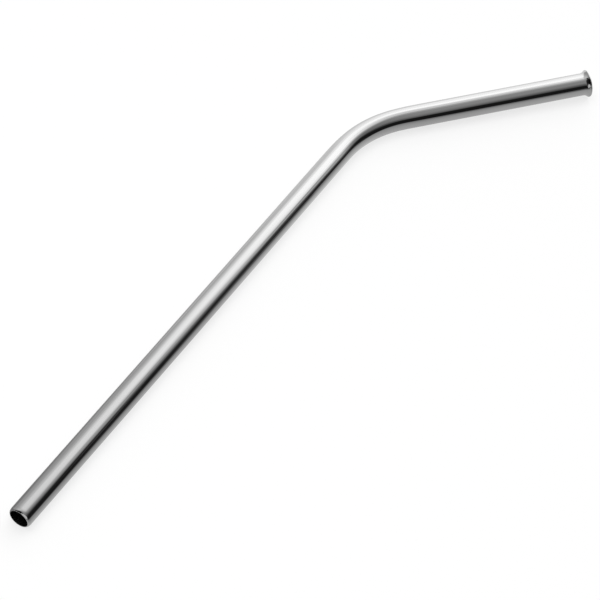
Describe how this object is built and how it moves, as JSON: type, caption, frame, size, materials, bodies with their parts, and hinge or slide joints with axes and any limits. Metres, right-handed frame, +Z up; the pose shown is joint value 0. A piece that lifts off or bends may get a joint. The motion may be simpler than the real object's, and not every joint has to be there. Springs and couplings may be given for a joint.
{
  "type": "bent drinking straw",
  "caption": "Reusable drinking straw of thin steel tube, bent near the mouth, with a flared rounded lip and a rounded tip, lying flat.",
  "frame": {"origin": "on the ground, under the middle of the straw's box", "axes": "+X along the long leg from the tip to the bend, the short leg turns towards -Y, +Z up"},
  "size_m": [0.2034, 0.0464, 0.0073],
  "materials": {
    "steel": "bright drawn stainless steel tube, polished, with faint lengthwise drawing lines"
  },
  "bodies": {
    "root": {"straw": "steel"}
  },
  "joints": []
}
